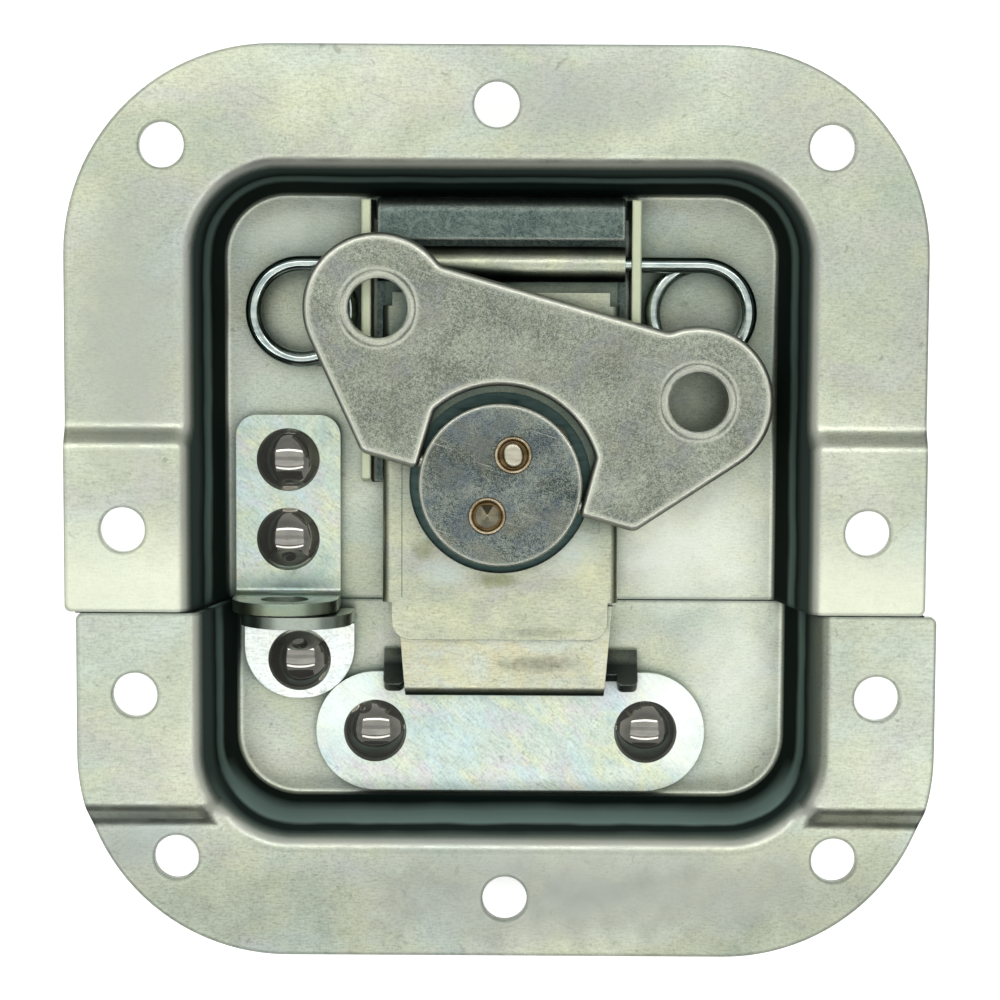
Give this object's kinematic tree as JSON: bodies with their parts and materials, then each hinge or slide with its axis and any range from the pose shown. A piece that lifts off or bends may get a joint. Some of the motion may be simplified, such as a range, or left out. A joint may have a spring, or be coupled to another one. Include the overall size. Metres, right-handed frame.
{
  "type": "recessed butterfly latch",
  "caption": "Recessed butterfly case latch: two pressed dishes, sprung arm with sliding hook, folding two-lobed handle, strike plate and padlock lugs.",
  "frame": {"origin": "the middle of the latch's back, on the plane of the dish floors", "axes": "+Y from the keeper half to the latch half, +Z out of the case, +X to the right"},
  "size_m": [0.1064, 0.1118, 0.0167],
  "materials": {
    "zinc_dish": "passivated zinc plate, satin",
    "zinc_bracket": "zinc plate with a bluish shine",
    "zinc_strike": "zinc plate with a bluish shine",
    "spring_steel": "smooth drawn wire",
    "arm_plate": "zinc plate, lightly scratched",
    "disc_steel": "tumbled steel with a bright rim",
    "wing_steel": "grainy steel with bright edges",
    "rivet_steel": "polished steel",
    "rivet_copper": "steel with a brownish tint"
  },
  "bodies": {
    "dishes": {"latch_dish": "zinc_dish", "keeper_dish": "zinc_dish", "frame_bracket": "zinc_bracket", "frame_rivets": "rivet_steel", "spring_wire": "spring_steel", "strike_plate": "zinc_strike", "padlock_bracket_upper": "zinc_bracket", "padlock_bracket_lower": "zinc_bracket", "padlock_rivet_upper_a": "rivet_steel", "padlock_rivet_upper_b": "rivet_steel", "padlock_rivet_lower": "rivet_steel", "strike_rivet_left": "rivet_steel", "strike_rivet_right": "rivet_steel"},
    "arm": {"arm_base": "arm_plate", "arm_cover": "arm_plate"},
    "rotor": {"rotor_body": "disc_steel", "rotor_disc": "disc_steel", "rotor_rivet_front": "rivet_copper", "rotor_rivet_rear": "rivet_copper"},
    "butterfly": {"butterfly": "wing_steel"},
    "tongue": {"tongue": "arm_plate", "follower_stud": "rivet_steel"}
  },
  "joints": [
    {"name": "arm_lift", "type": "hinge", "parent": "dishes", "child": "arm", "pos_m": [-0.0001, 0.0295, 0.00543], "axis": [-1, 0, 0], "range_deg": [0, 15]},
    {"name": "rotor_turn", "type": "hinge", "parent": "arm", "child": "rotor", "pos_m": [-0.0001, 0.00235, 0.0058], "axis": [0, 0, -1], "range_deg": [0, 130]},
    {"name": "butterfly_fold", "type": "hinge", "parent": "rotor", "child": "butterfly", "pos_m": [-0.0001, 0.00235, 0.0102], "axis": [0.9613, -0.2756, 0], "range_deg": [0, 90]},
    {"name": "tongue_slide", "type": "slide", "parent": "arm", "child": "tongue", "axis": [0, -1, 0], "range_m": [0, 0.0045]}
  ],
  "couplings": [
    {"joint": "tongue_slide", "follows": "rotor_turn", "m_per_rad": 0.0019833}
  ]
}
